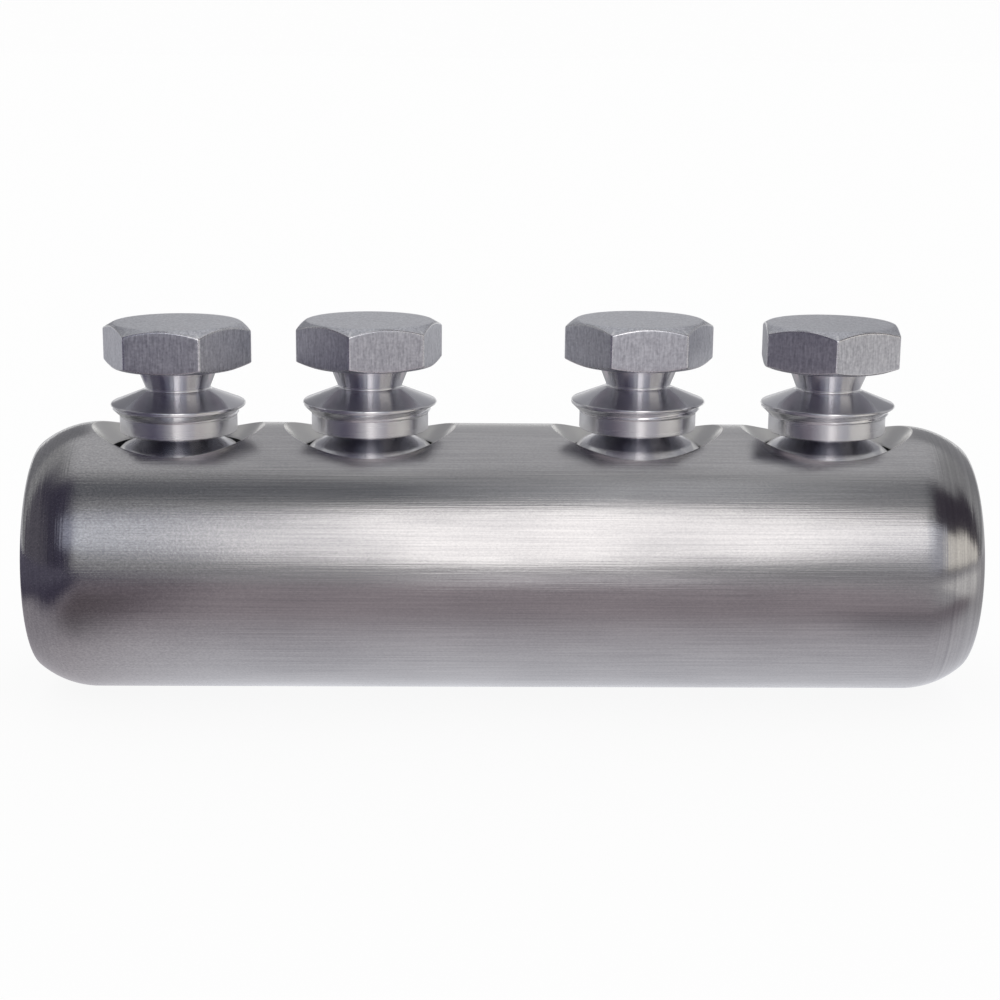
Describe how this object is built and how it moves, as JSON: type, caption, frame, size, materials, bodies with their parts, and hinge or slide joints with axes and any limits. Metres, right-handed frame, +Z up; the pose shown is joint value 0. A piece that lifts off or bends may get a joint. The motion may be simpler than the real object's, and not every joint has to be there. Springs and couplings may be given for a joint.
{
  "type": "screw connector",
  "caption": "Round tinned aluminium cable connector sleeve with a blind conductor bore in each end and hexagon-head shear bolts standing in countersunk holes along its top.",
  "frame": {"origin": "underside of the sleeve, below the middle of its length", "axes": "+X along the conductor bores, +Z up the bolts, -Y towards the viewer of the picture"},
  "size_m": [0.115, 0.033, 0.0463],
  "materials": {
    "sleeve": "tinned, satin, drawn lines",
    "bolt": "turned, tinned"
  },
  "bodies": {
    "sleeve": {"sleeve": "sleeve"},
    "bolt_1": {"shear_bolt_1": "bolt"},
    "bolt_2": {"shear_bolt_2": "bolt"},
    "bolt_3": {"shear_bolt_3": "bolt"},
    "bolt_4": {"shear_bolt_4": "bolt"}
  },
  "joints": [
    {"name": "bolt_1_drive", "type": "slide", "parent": "sleeve", "child": "bolt_1", "axis": [0, 0, 1], "range_m": [-0.0074, 0.002]},
    {"name": "bolt_2_drive", "type": "slide", "parent": "sleeve", "child": "bolt_2", "axis": [0, 0, 1], "range_m": [-0.0074, 0.002]},
    {"name": "bolt_3_drive", "type": "slide", "parent": "sleeve", "child": "bolt_3", "axis": [0, 0, 1], "range_m": [-0.0074, 0.002]},
    {"name": "bolt_4_drive", "type": "slide", "parent": "sleeve", "child": "bolt_4", "axis": [0, 0, 1], "range_m": [-0.0074, 0.002]}
  ]
}
